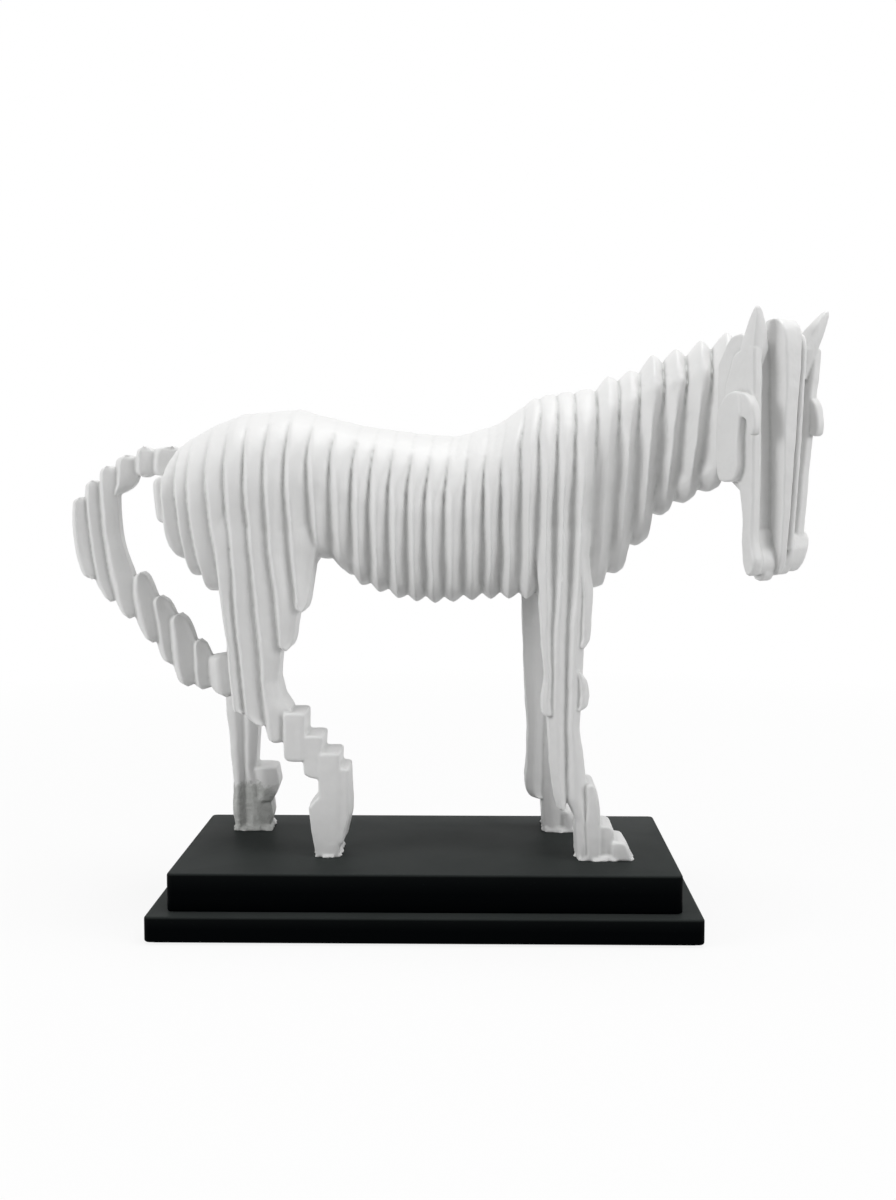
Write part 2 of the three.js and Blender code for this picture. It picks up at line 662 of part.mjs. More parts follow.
function place(group, name, shape, material) {
  const mesh = new THREE.Mesh(geometryOf(shape), materials[material]);
  mesh.name = name;
  group.add(mesh);
}

place(figure, "trunk", trunk(), "resin");
place(figure, "neck", neck(), "resin");
place(figure, "head", head(), "resin");
place(figure, "tail", tail(), "resin");
for (const name of Object.keys(legs)) place(figure, name + "_leg", legBelow(name), "resin");
for (const [name, run] of Object.entries(pins)) place(figure, name, bar(pinRadius, ...run), "steel");
place(figure, "tail_tip_pin", bar(tipPinRadius, ...tipPin), "steel");
for (const [name, leg] of Object.entries(legs)) {
  const at = [leg.studX, middleOf(leg.side)];
  place(figure, name + "_stud", bar(studRadius, ...legStud(leg)), "steel");
  place(part, name + "_washer", washer(at), "steel");
  place(part, name + "_nut", nut(at), "steel");
}
place(part, "upper_tier", upperTier(), "lacquer");
place(part, "lower_tier", lowerTier(), "lacquer");
place(part, "felt_sheet", feltSheet(), "felt");
screwPlaces.forEach((at, i) => place(part, "tier_screw_" + (i + 1), screw(at), "steel"));

export default part;
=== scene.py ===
import math

import bmesh
import bpy
import numpy as np
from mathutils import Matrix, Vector


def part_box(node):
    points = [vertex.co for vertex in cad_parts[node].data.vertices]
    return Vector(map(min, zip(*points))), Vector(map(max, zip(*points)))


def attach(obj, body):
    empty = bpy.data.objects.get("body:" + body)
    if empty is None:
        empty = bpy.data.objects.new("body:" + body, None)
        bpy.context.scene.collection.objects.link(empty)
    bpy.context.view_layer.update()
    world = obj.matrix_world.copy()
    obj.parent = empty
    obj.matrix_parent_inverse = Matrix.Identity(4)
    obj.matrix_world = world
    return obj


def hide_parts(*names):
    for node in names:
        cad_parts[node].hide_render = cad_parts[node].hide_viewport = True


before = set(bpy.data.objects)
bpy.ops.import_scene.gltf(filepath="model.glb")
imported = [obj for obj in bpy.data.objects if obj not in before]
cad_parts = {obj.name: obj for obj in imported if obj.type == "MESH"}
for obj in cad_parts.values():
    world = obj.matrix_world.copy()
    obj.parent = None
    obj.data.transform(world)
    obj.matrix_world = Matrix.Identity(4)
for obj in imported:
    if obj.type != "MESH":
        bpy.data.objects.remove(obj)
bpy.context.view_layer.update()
bpy.ops.object.select_all(action="DESELECT")

MM = 0.001
plinth_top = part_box("upper_tier")[1].z / MM

# The body's measures, along x from the rump to the poll.

# Where the grooves between the ribs cross the height of the horse's flank. Trunk and neck meet at one.
grooves = [
    -129.6, -122.6, -116, -106.2, -97.4, -88.2, -78.4, -68.4, -57.4, -47.2, -36.6, -28, -19, -9.9, -0.9,
    8.2, 17.7, 26.9, 35.5, 45, 53.5, 61.8, 69.9, 79.8, 90.3, 99.7, 110.1, 120.1, 130.5, 141.3, 150.3,
]  # fmt: skip
neck_groove = 79.8
flank_height = 182
mid_y = 7

# How much the grooves fan out: each is moved by this share of its x for every millimetre of height.
fanning = [
    (-129.6, 0.00035), (-122.6, 0.0011), (-106, 0.0014), (-97, 0.001), (-57, 0.0008), (-30, 0), (45, 0),
    (62, 0.0005), (79.8, 0.0008),
]  # fmt: skip

# The heights of the spine and the underside, half the width, where the middle lies across, and how square
# a section is, where 2 is an ellipse.
back = [
    (-130, 194.5), (-127, 199), (-118, 204), (-108, 209), (-94, 215), (-66, 217.5), (-54, 213.8),
    (-34, 208.8), (-4, 204.8), (12, 204.2), (31, 210), (41, 216.5), (50, 222.5), (60, 225), (80, 228),
    (85, 233.6), (95, 236), (105, 243.9), (115, 246.4), (126, 250), (136, 253.2), (148, 256),
]  # fmt: skip
belly = [
    (-129.6, 154), (-128.6, 148), (-127, 144.4), (-125, 143), (-122.8, 143), (-122.2, 135.4), (-121, 135),
    (-116.2, 135), (-115.6, 128), (-114, 127.6), (-106.4, 127.6), (-105.8, 126), (-70, 128), (-60, 139),
    (-54, 144.5), (-47, 140.5), (-42, 138), (-38, 133), (-29, 128.4), (-20, 125.4), (-11, 122.4), (6, 121),
    (26, 123), (49, 124), (79.6, 126), (80.2, 128.6), (89.9, 130), (90.5, 136.2), (96, 136.4),
    (99.4, 138.4), (100.1, 150.5), (105, 150), (109.6, 153), (110.4, 165.5), (116, 165), (119.6, 167),
    (120.4, 171.5), (126, 171), (130.1, 173.5), (130.8, 177), (136, 176.5), (140.9, 178.5),
    (141.6, 182.5), (152, 183.5),
]  # fmt: skip
half_width = [
    (-130, 24), (-120, 32), (-105, 38), (-92, 40), (-70, 40), (-50, 37), (0, 38.5), (35, 40),
    (54, 44), (75, 44), (82, 40.5), (95, 33.5), (115, 26), (135, 20), (148, 16.5),
]  # fmt: skip
middle = [(-130, 7), (-100, 8), (-66, 8), (-50, 7), (85, 7), (115, -2), (150, -24)]
squareness = [
    (-125, 3.4), (-104, 5), (-98, 6), (-62, 6), (-48, 4), (-28, 3.1), (35, 3), (50, 5), (77, 5), (84, 4),
    (148, 2.8),
]  # fmt: skip

# Groove depths at the spine, on the flank and under the belly, how far below the spine the grooves start,
# and over what length they deepen there.
depth_top = [(-130, 0.2), (40, 0.5), (80, 3), (105, 6), (148, 8)]
depth_side = [(-130, 1.3), (-106, 1.6), (-94, 3.4), (-60, 4.4), (60, 4.6), (148, 5)]
depth_belly = [(-130, 1), (-60, 1.5), (-46, 3.4), (50, 3.6), (80, 1), (148, 1)]
groove_start = [
    (-119, 11), (-96, 8), (-80, 6), (-55, 5), (-30, 7), (-15, 9.5), (8, 10.5), (18, 12), (27, 14),
    (33, 19), (39, 19), (43, 5), (55, 5), (65, 9), (73, 12), (90, 14), (121, 16), (141, 15),
]  # fmt: skip
tip_length = 20
tip_curve = 0.8

# How far below their tips the grooves reach their full breadth, and their least and greatest breadth, which
# is small on the rump, where the slices have flat faces.
opening_length = [(70, 55), (86, 26), (148, 14)]
least_breadth = 0.05
most_breadth = [(-106, 0.12), (-90, 0.8), (-60, 1)]

# How the sides of a narrow and of a broad groove are rounded.
narrow_power = 4
broad_bowl, broad_wave = 0.45, 0.275

# How many degrees round from the spine the grooves turn into those of the belly, and how much narrower
# those are.
belly_from, belly_blend = 112, 34
belly_narrowing = 0.4

# On the crest of the neck all ribs have one even shape: where along x that begins, and how far below the
# spine it ends.
mane_from, mane_blend = 76, 14
mane_drop, mane_fade = 6, 14
mane_crest, mane_breadth = 0.5, 0.55

# How far each rib bows towards the head where it crosses the spine.
bow = [(-128, 5), (-96, 4.4), (0, 4.2), (40, 3.4), (56, 0.8), (75, 0)]

# Where each slice keeps to one width, so that the last slices of the rump step in one after the other.
stepped = [(-98, 1), (-96, 0)]

# Where the crest of each rib lies across its width.
crest_at = [(-130, 0.14), (-98, 0.2), (-60, 0.28), (-45, 0.46), (45, 0.48), (80, 0.55), (148, 0.62)]

# How finely the body is drawn, along it and round it.
steps_per_rib = 14
steps_around = 160

# The slices below the body, each as (x, height) points of its outline.

thigh_slices = [
    [(-104.7, 172), (-101, 147), (-99.5, 128), (-96, 105), (-95.6, 96), (-93, 71), (-87.5, 69),
     (-91.5, 101.6), (-93, 119.7), (-94, 147), (-96.4, 172)],
    [(-96.4, 172), (-94, 147), (-93, 119.7), (-91.5, 101.6), (-87.5, 68.5), (-81.6, 64),
     (-77.9, 63.5), (-81, 101.6), (-82.9, 119.7), (-85.3, 147), (-87.4, 172)],
    [(-87.4, 172), (-85.3, 147), (-82.9, 119.7), (-81, 101.6), (-77.9, 63.5), (-76, 55.5),
     (-67.6, 55.5), (-66, 72), (-70.3, 78), (-72.2, 86), (-70.6, 100), (-72.5, 119.7), (-75.9, 147),
     (-77.7, 172)],
    [(-77.7, 172), (-75.9, 147), (-72.5, 119.7), (-70.6, 102), (-67, 99.6), (-64, 105),
     (-62.4, 119), (-66.3, 147), (-67.8, 172)],
    [(-67.8, 172), (-66.3, 147), (-62.6, 121), (-59.6, 118), (-57.4, 124), (-55, 138), (-53.6, 149),
     (-56.9, 172)],
]  # fmt: skip
hind_steps = [
    [(-69, 70.5), (-68.2, 48), (-66, 46.5), (-58.7, 46.5), (-58.7, 70.5)],
    [(-60, 59.4), (-58.8, 39.7), (-51.4, 37.6), (-50.2, 59.4)],
    [(-52, 51), (-52, 1), (-53, 0), (-43, 0), (-42, 8), (-42, 51)],
    [(-43.2, 43.6), (-43.2, 6), (-40.4, 6), (-37.6, 18), (-37.8, 43.6)],
    [(-51.6, 30), (-57, 24.5), (-53.4, 0), (-50, 0), (-50, 30)],
]  # fmt: skip
rump_slice = [(-133.4, 183), (-133, 166), (-131.5, 161), (-124, 161), (-126, 186)]
fore_slices = [
    [(53.3, 172), (53, 147), (54.3, 125.6), (55.8, 106), (57.3, 87.4), (55.9, 77.7), (56.3, 69.6),
     (60.5, 69.6), (59.6, 112), (60.8, 147), (61.5, 172)],
    [(61.5, 172), (60.8, 147), (59.5, 110), (58.8, 69), (59.4, 58), (60, 44), (62, 29.5), (63.5, 24.5),
     (67, 24), (67.3, 68), (67.6, 120), (68.5, 147), (69.4, 172)],
    [(69.4, 172), (68.5, 147), (67.6, 120), (67, 68), (67.2, 30), (72.5, 18.8), (72.6, 0), (78.4, 0),
     (78.2, 29.5), (75.4, 49), (73.4, 63), (73.8, 72), (75, 100), (77.7, 147), (79.2, 172)],
    [(69.4, 172), (68.5, 147), (73.4, 118), (73.4, 103), (75, 102), (78.1, 106.5), (79, 121), (79.4, 131),
     (77.7, 147), (79.2, 172)],
    [(72.6, 92), (72.6, 72), (76.9, 74.2), (77.9, 80.2), (76.8, 86.6)],
]  # fmt: skip
fore_foot = [
    [(77.4, 37.6), (77.4, 0), (84, 0), (83.6, 22), (82.6, 30), (80.6, 37)],
    [(83, 17), (83, 0), (90.4, 0), (90.4, 14), (88.4, 17)],
    [(89.5, 9.5), (89.5, 0), (99, 0), (98, 4), (95.5, 9)],
]  # fmt: skip
left_hind_slices = [
    [(-104, 120), (-106, 74), (-105.4, 60), (-103.8, 47), (-102.5, 26), (-102.4, 8), (-101, 0),
     (-96, 0), (-96.4, 60), (-92, 120)],
    [(-97.5, 120), (-97.6, 60), (-97, 0), (-84.6, 0), (-82.2, 8), (-83, 14), (-91, 33), (-89.6, 60),
     (-82, 120)],
    [(-93, 33.5), (-91.6, 15), (-82.6, 15), (-79, 24), (-80.8, 33.5)],
]  # fmt: skip
left_fore_slices = [
    [(45, 172), (47.5, 123.3), (48.7, 100), (49.8, 74), (50.9, 53), (50.5, 35), (49.4, 27), (50, 21.6),
     (52.1, 18.5), (58, 17), (60, 74), (60, 172)],
    [(58, 172), (58, 17), (59.4, 0), (70, 0), (70, 30), (68, 74), (72, 172)],
    [(68.8, 11), (68.8, 0), (76.5, 0), (75.6, 8), (73.6, 11)],
]  # fmt: skip

# How far the left thigh lies behind the right one, and how low it reaches.
left_thigh_back = -9
left_thigh_low = 96

# How far the last slice of the rump reaches to each side of the middle.
rump_reach = 22

# The two sides of each leg, near to far, and the height at which the legs are cut from the trunk.
right_hind = (-32, -4)
left_hind = (25, 47.5)
right_fore = (-37, -10)
left_fore = (24, 50)
leg_cut = 118

# Where the feet are glued down, as left, right, near and far, then the glue's heights and how far out it
# reaches at each, and the waves of its edge as their number and size.
feet = [(-53.5, -42, -32, -4), (-102, -83, 25, 47.5), (73, 99, -37, -10), (59.5, 76.5, 24, 50)]
glue_steps = [(0, 1), (0.5, 0.9), (1.2, 0.5), (2, 0.1), (2.6, -0.6)]
glue_points = 97
glue_squareness = 0.85
glue_waves = [(5, 0.5), (11, 0.35), (19, 0.25)]

tail_slices = [
    [(-176.4, 173.9), (-177, 160), (-175.2, 145), (-172.4, 135), (-169.5, 133), (-164.6, 133),
     (-169.4, 158), (-169.6, 173.9)],
    [(-171, 168), (-170.4, 182.3), (-162.6, 182.3), (-161, 158), (-154.6, 122.6), (-160.6, 120.8),
     (-166.6, 133)],
    [(-163, 178), (-162.4, 189.4), (-155, 189.4), (-154.4, 167), (-154.1, 157.6), (-151, 145),
     (-147, 133), (-144.5, 114), (-151.4, 112.8), (-156.4, 122), (-162, 158)],
    [(-156, 174), (-155, 194.8), (-143.6, 194.8), (-144, 184), (-146.8, 179), (-152, 176)],
    [(-145, 184), (-144.2, 199), (-136.4, 199), (-136.4, 183.3)],
    [(-138, 184.6), (-137.4, 198), (-130, 199), (-122.5, 199), (-122.5, 184), (-130, 184)],
    [(-148, 126), (-146.6, 134.5), (-143.8, 136.8), (-140.8, 136.2), (-136.6, 127), (-132.4, 108),
     (-134, 101.3), (-140.4, 101.4), (-146.2, 113)],
    [(-138.8, 121), (-136, 124.6), (-132, 124.5), (-128.8, 120), (-123.8, 108), (-123.4, 92.4),
     (-125.4, 90.2), (-132.6, 90.4), (-136.6, 104)],
    [(-129.4, 112), (-126.6, 115.7), (-122.6, 115.5), (-119.4, 110), (-115.6, 100), (-115.4, 79.6),
     (-124.4, 79.2), (-128.4, 92)],
    [(-118.6, 99), (-116.4, 102.8), (-112, 102.7), (-108.4, 94), (-106.8, 78.4), (-115.2, 77.2),
     (-118.4, 82)],
    [(-110, 93), (-107.4, 95.6), (-92, 95.4), (-92, 78), (-99, 73.6), (-104, 74.2), (-109, 78.6)],
]  # fmt: skip
tail_sides = (-3.7, 11.3)

# The head: outlines as (forward of its axis, height), then each slice's right and left side, how far it
# leans to the left for each millimetre up, and the share of its width that it loses in taper_length.
head_turn = 62
head_at = (160, -46)
nape_depth = 22
lean_height = 182
cheek = [
    (-14, 184), (-15.5, 192), (-15.4, 206), (-14, 214), (-9, 221), (-2, 223.4), (2, 222), (3, 213),
    (1.4, 205), (1.4, 187), (-1, 182), (-11, 181.2),
]  # fmt: skip
cheek_hook = [(-3, 211), (-3, 223), (5, 222), (10.5, 217), (12.4, 209), (12, 202.5), (7.6, 202.5), (6, 211)]
right_plate = [
    (0.5, 143.5), (3.6, 137.8), (8, 139.5), (10, 146), (7.5, 152), (7, 158), (7, 244), (-8, 240), (-14, 226),
    (-14, 190), (-3, 181), (0.5, 165), (0, 152),
]  # fmt: skip
left_plate = [(2, 150), (7, 150), (7, 244), (-8, 240), (-14, 226), (-14, 190), (-3, 181), (0.5, 165)]
skull = [
    (2, 244), (-3, 250), (-12, 248), (-22, 236), (-22, 190), (-16, 184), (-4, 176), (0, 150), (1, 143),
    (3, 150), (3, 200),
]  # fmt: skip
nose_ridge = [
    (-6, 251), (0, 256.4), (8, 255.8), (13, 251), (14.4, 243), (14, 200), (12.4, 160), (11.6, 146),
    (8.6, 138.2), (2, 138.6), (-4, 170),
]  # fmt: skip
side_ridge = [(-4, 246), (9, 250), (12, 244), (12, 190), (10.4, 150), (4, 150), (-4, 170)]
temple = [(-2, 242), (-8, 242), (-16, 236), (-16, 184), (-6, 184)]
muzzle = [(-4, 144), (0, 138.6), (6, 138.4), (8.8, 143), (8, 149), (5, 152), (4, 160), (-4, 164)]
nostril = [(-4, 150), (0, 141), (6, 139.4), (9.6, 144), (10, 153), (6, 158.4), (-4, 160)]
lower_lip = [(-2, 142), (0.4, 136.2), (5, 135.6), (7.6, 139), (7.2, 145), (-2, 147)]
head_slices = [
    (cheek, -19.6, -14.6, 0, 0),
    (cheek_hook, -18.8, -14.6, 0, 0),
    (right_plate, -15.6, -10.6, 0, 0),
    (skull, -14.8, 16, 0, 0.2),
    (temple, 10, 20.6, 0, 0),
    (muzzle, -12, 7, 0, 0),
    (lower_lip, -8.4, -2.4, 0, 0),
    (nose_ridge, -4.4, 5.2, 0.02, 0.62),
    (side_ridge, 5.6, 8, 0.05, 0),
    (nostril, 14.6, 25, 0.3, 0),
    (left_plate, 13.2, 17.8, 0.1, 0),
    (cheek, 16.2, 20.6, 0.04, 0),
    (cheek_hook, 16.2, 20.6, 0.04, 0),
]
taper_from = 250
taper_length = 100

# The ears, each as the back, front, right and left of its foot, its root's place across, and its tip.
ear_foot = 242
ears = [((-4, 7, -15.8, -6), -13.4, (5, -12.6, 261.4)), ((-4, 8, 11, 21.5), 16, (7.5, 25.6, 260.6))]
ear_points, ear_levels = 25, 34
ear_lowest = -0.7
ear_squareness = 0.6
ear_curve, ear_fullness, ear_bluntness, ear_root_taper = 0.6, 0.95, 0.09, 0.8

# Heights between which the legs' slices take on the body's ribs, and how their tops bend in under them.
merge_low, merge_high = 112, 146
tuck_height = 150
tuck_bend = 0.006

# How much wider each slice is drawn, since softening its skin draws it in, and how finely it is drawn.
swell = 0.25
level_step = 1.2
face_steps, end_steps, corner_steps = 16, 6, 5

# Points of a skin that lie nearer to each other than this are one point.
weld = 0.005

# The most that a rounded corner takes of an edge, and that a rounded end and a groove take of a width.
corner_share, end_share, groove_share = 0.45, 0.45, 0.5

# How far inside its lowest and highest point an outline's breadth is read.
inside_outline = 0.02

# The cubes in which slices are cast into one skin, its rounds of smoothing, and its most triangles.
voxel, head_voxel, tail_voxel = 0.6, 0.45, 0.5
smooth_rounds = 2
most_triangles = 190_000

# How far a hollow is spread over the skin around it, and how strongly it then counts in the painted shade of
# the grooves.
hollow_rounds = 10
hollow_gain = 9

# The angle between faces, in degrees, up to which they are shaded as one.
smooth_angle = 40

# A length next to nothing, added to what is divided by.
tiny = 1e-9


def along(curve, x):
    """Reads a curve of (x, value) points."""
    return np.interp(x, [p[0] for p in curve], [p[1] for p in curve])


def ease(t):
    """Rises smoothly from 0 to 1."""
    t = np.clip(t, 0, 1)
    return t * t * (3 - 2 * t)


def fan(x, height):
    """Where a point of a groove lies once the grooves fan out."""
    return x * (1 + (height - flank_height) * along(fanning, x))


def fluted(share, crest, breadth):
    """How far a rib is sunk, from 1 in the grooves at its sides to 0 on its crest. Grooves of breadth 0 are
    narrow, with a broad rib between them, and those of breadth 1 are broad, with a sharp crest between."""
    t = np.clip(np.where(share < crest, share / crest, (1 - share) / (1 - crest)), 0, 1)
    narrow = 1 - (1 - t) ** narrow_power
    broad = broad_bowl * t * t + broad_wave * (1 - np.cos(np.pi * t))
    return 1 - (narrow * (1 - breadth) + broad * breadth)


# Working in edit mode.


def named(made, name):
    made.name = made.data.name = name
    return made


def done():
    """Leaves edit mode."""
    bpy.ops.object.mode_set(mode="OBJECT")
    return bpy.context.object


def only(made):
    """Makes one object the active one and the only one selected."""
    bpy.ops.object.select_all(action="DESELECT")
    made.select_set(True)
    bpy.context.view_layer.objects.active = made
    return made


def use(made, kind, **settings):
    """Adds a modifier and applies it."""
    only(made)
    modifier = made.modifiers.new(kind.title(), kind)
    for name, value in settings.items():
        setattr(modifier, name, value)
    bpy.ops.object.modifier_apply(modifier=modifier.name)
    return made


def loft(name, rings):
    """A closed skin over rings of points, as an array of ring, place round the ring and x, y, height. The
    last point of each ring falls on its first."""
    levels, around = rings.shape[:2]
    bpy.ops.mesh.primitive_grid_add(x_subdivisions=around - 1, y_subdivisions=levels - 1, size=MM)
    made = named(bpy.context.object, name)
    points = rings.reshape(-1, 3) + (0, 0, plinth_top)
    made.data.vertices.foreach_set("co", (points * MM).ravel())
    made.data.update()
    bpy.ops.object.mode_set(mode="EDIT")
    bpy.ops.mesh.select_all(action="SELECT")
    bpy.ops.mesh.remove_doubles(threshold=weld * MM)
    bpy.ops.mesh.select_mode(type="EDGE")
    bpy.ops.mesh.select_all(action="DESELECT")
    bpy.ops.mesh.select_non_manifold()
    bpy.ops.mesh.edge_face_add()
    bpy.ops.mesh.select_all(action="SELECT")
    bpy.ops.mesh.normals_make_consistent(inside=False)
    bpy.ops.mesh.select_mode(type="VERT")
    return done()


def span(points, height):
    """The left and right edge of an outline at a height."""
    crossed = []
    for (x0, z0), (x1, z1) in zip(points, points[1:] + points[:1]):
        if min(z0, z1) <= height <= max(z0, z1) and z0 != z1:
            crossed.append(x0 + (x1 - x0) * (height - z0) / (z1 - z0))
    return min(crossed), max(crossed)


def merged(height):
    """How far a leg's slice has taken on the shape of the body's ribs at a height."""
    return ease((height - merge_low) / (merge_high - merge_low))


def rounded(points, radius):
    """An outline with its corners rounded off."""
    found = []
    spots = [np.array(p, float) for p in points]
    for before, spot, after in zip(spots[-1:] + spots[:-1], spots, spots[1:] + spots[:1]):
        back, on = before - spot, after - spot
        start = spot + back * min(corner_share, radius / np.hypot(*back))
        stop = spot + on * min(corner_share, radius / np.hypot(*on))
        for t in np.linspace(0, 1, corner_steps):
            found.append(tuple(start * (1 - t) ** 2 + spot * 2 * t * (1 - t) + stop * t * t))
    return found


def plank(points, near, far, rim=None, flute=None, end=1.2, corner=None, merge=False, place=None):
    """One slice, skinned up its height. rim rounds the long edges of both faces by a radius, and flute, as
    (depth, crest, breadth), shapes the faces as ribs. end rounds both ends, corner the corners of the
    outline, merge lets a flute take on the shape of the body's ribs further up, and place turns each point
    (x, y, height) into its spot."""
    points = rounded(points, corner) if corner else points
    low, high = min(p[1] for p in points), max(p[1] for p in points)
    round_off = end * (1 - np.sqrt(1 - np.linspace(1, 0, end_steps) ** 2))
    rise = end * np.linspace(0, 1, end_steps)
    between = np.arange(low + end, high - end, level_step)[1:]
    heights = np.concatenate([low + rise, between, high - rise[::-1]])
    insets = np.concatenate([round_off, 0 * between, round_off[::-1]])
    share = 0.5 - 0.5 * np.cos(np.pi * np.linspace(0, 1, face_steps + 1))
    rings = []
    for height, inset in zip(heights, insets):
        left, right = span(points, min(max(height, low + inside_outline), high - inside_outline))
        inset = min(inset, (right - left) * end_share) - swell
        left, right = left + inset, right - inset
        if flute:
            depth, crest, breadth = flute
            if merge:
                level = merged(height)
                depth += (along(depth_side, left) - depth) * level
                crest += (along(crest_at, left) - crest) * level
                breadth += (along(most_breadth, left) - breadth) * level
            sunk = min(depth, (right - left) * groove_share) * fluted(share, crest, breadth)
        else:
            edge = np.minimum(share, 1 - share) * (right - left)
            t = np.clip(edge / rim, 0, 1)
            sunk = rim * (1 - np.sqrt(1 - (1 - t) ** 2))
        x = left + share * (right - left)
        y_near, y_far = near + sunk + inset, far - sunk - inset
        x, y = np.concatenate([x, x[::-1], x[:1]]), np.concatenate([y_near, y_far[::-1], y_near[:1]])
        rings.append(np.stack([x, y, np.full_like(x, height)], axis=1))
    rings = np.stack(rings)
    if place:
        rings = place(rings)
    return loft("slice", rings)


def into_body(outer):
    """Brings the outer face of a leg's slice level with the side of the body, and its top in under the
    ribs."""
    way = -1 if outer < mid_y else 1

    def place(spots):
        x, height = spots[..., 0], spots[..., 2]
        side = along(middle, x) + way * along(half_width, x)
        inward = np.maximum(0, height - tuck_height) ** 2 * tuck_bend
        spots[..., 1] += (side - outer) * merged(height) - way * inward
        return spots

    return place


def slices(outlines, sides, stagger=0.4, **shape):
    """A row of slices, every other one a little thinner, as if cut by hand."""
    near, far = sides
    return [
        plank(points, near + stagger * (i % 2), far - stagger * (i % 2), **shape)
        for i, points in enumerate(outlines)
    ]


# The ribbed body.


def rib_stations():
    """Each ring of the body as x, its share of its rib's width and the middle of the rib."""
    found = []
    for left, right in zip(grooves, grooves[1:]):
        for step in range(steps_per_rib):
            share = step / steps_per_rib
            found.append((left + (right - left) * share, share, (left + right) / 2))
    found.append((grooves[-1], 1.0, grooves[-1]))
    return found


def ring(x, share, rib_middle):
    """One ring of the body, as columns of x, y and height, from the spine round by the near side."""
    top, low = along(back, x), along(belly, x)
    flat_x = x + (rib_middle - x) * along(stepped, x)
    wide, power = along(half_width, flat_x), 2 / along(squareness, x)
    angle = np.linspace(0, 2 * np.pi, steps_around + 1)
    s, c = np.sin(angle), np.cos(angle)
    bend = np.where(c > 0, 1.0, power)
    y = along(middle, x) - wide * np.sign(s) * np.abs(s) ** bend
    height = (top + low) / 2 + (top - low) / 2 * np.sign(c) * np.abs(c) ** bend
    dy, dz = np.gradient(y), np.gradient(height)
    dy[0] = dy[-1] = (y[1] - y[-2]) / 2
    dz[0] = dz[-1] = (height[1] - height[-2]) / 2
    length = np.hypot(dy, dz) + tiny
    inward = np.stack([-dz / length, dy / length])
    drop = top - height
    turned = np.degrees(np.minimum(angle, 2 * np.pi - angle))
    begun = np.clip((drop - along(groove_start, x)) / tip_length, 0, 1) ** tip_curve
    under = ease((turned - belly_from) / belly_blend)
    depth = along(depth_top, x) * (1 - begun) + along(depth_side, x) * begun
    depth = depth * (1 - under) + along(depth_belly, x) * under
    opened = (drop - along(groove_start, x)) / along(opening_length, x)
    breadth = np.clip(opened, least_breadth, along(most_breadth, x))
    sunk = fluted(share, along(crest_at, x), breadth * (1 - belly_narrowing * under))
    mane = ease((x - mane_from) / mane_blend) * (1 - ease((drop - mane_drop) / mane_fade))
    sunk = sunk * (1 - mane) + fluted(share, mane_crest, mane_breadth) * mane
    across = np.clip(np.abs(y - along(middle, x)) / wide, 0, 1)
    bent = np.where(c > 0, along(bow, x) * (1 - across**2), 0)
    y = y + inward[0] * depth * sunk
    height = height + inward[1] * depth * sunk
    return np.stack([fan(x, height) + bent, y, height], axis=1)


def body():
    """A grid bent round into the ribbed body, closed along the spine and at both ends."""
    return loft("ribbed_body", np.stack([ring(*station) for station in rib_stations()]))


# Head, ears and legs.


def on_head(lean, taper=0, centre=0):
    """Turns points drawn as (forward, across, height) into their spots on the figure."""
    c, s = math.cos(math.radians(head_turn)), math.sin(math.radians(head_turn))

    def place(spots):
        onward, across, height = spots[..., 0], spots[..., 1], spots[..., 2]
        across = centre + (across - centre) * (1 - taper * (taper_from - height) / taper_length)
        across = across + lean * (height - lean_height)
        x = c * onward + s * across + head_at[0]
        y = c * across - s * onward + head_at[1]
        return np.stack([x, y, height], axis=-1)

    return place


def ear(foot, root, tip):
    """A blunt blade, widest at its foot, that narrows below it into the plate at its root."""
    back_x, front_x, right_y, left_y = foot
    angle = np.linspace(0, 2 * np.pi, ear_points)
    c, s = np.cos(angle), np.sin(angle)
    square = np.maximum(np.abs(c), np.abs(s)) ** -ear_squareness
    rings = []
    for t in np.linspace(ear_lowest, 1, ear_levels):
        up, down = max(t, 0), max(-t, 0)
        size = (1 - up) ** ear_curve * ear_fullness + ear_bluntness - down * ear_root_taper
        x = (back_x + front_x) / 2 * (1 - up) + tip[0] * up + (front_x - back_x) / 2 * c * square * size
        centre = (right_y + left_y) / 2 * (1 - up) + tip[1] * up
        y = centre + (root - centre) * down + (left_y - right_y) / 2 * s * square * size
        height = ear_foot + (tip[2] - ear_foot) * t
        rings.append(np.stack([x, y, np.full_like(x, height)], axis=1))
    return loft("ear", on_head(0)(np.stack(rings)))


def glue_skirt(left, right, near, far):
    """The low, uneven fillet of glue round a foot."""
    angle = np.linspace(0, 2 * np.pi, glue_points)
    c, s = np.cos(angle), np.sin(angle)
    square = np.maximum(np.abs(c), np.abs(s)) ** -glue_squareness
    wave = 1
    for (number, size), shift in zip(glue_waves, (left, far, 0)):
        wave = wave + size * np.sin(number * angle + shift)
    rings = []
    for height, out in glue_steps:
        x = (left + right) / 2 + c * square * ((right - left) / 2 + out * wave)
        y = (near + far) / 2 + s * square * ((far - near) / 2 + out * wave)
        rings.append(np.stack([x, y, np.full_like(x, height)], axis=1))
    return loft("glue", np.stack(rings))


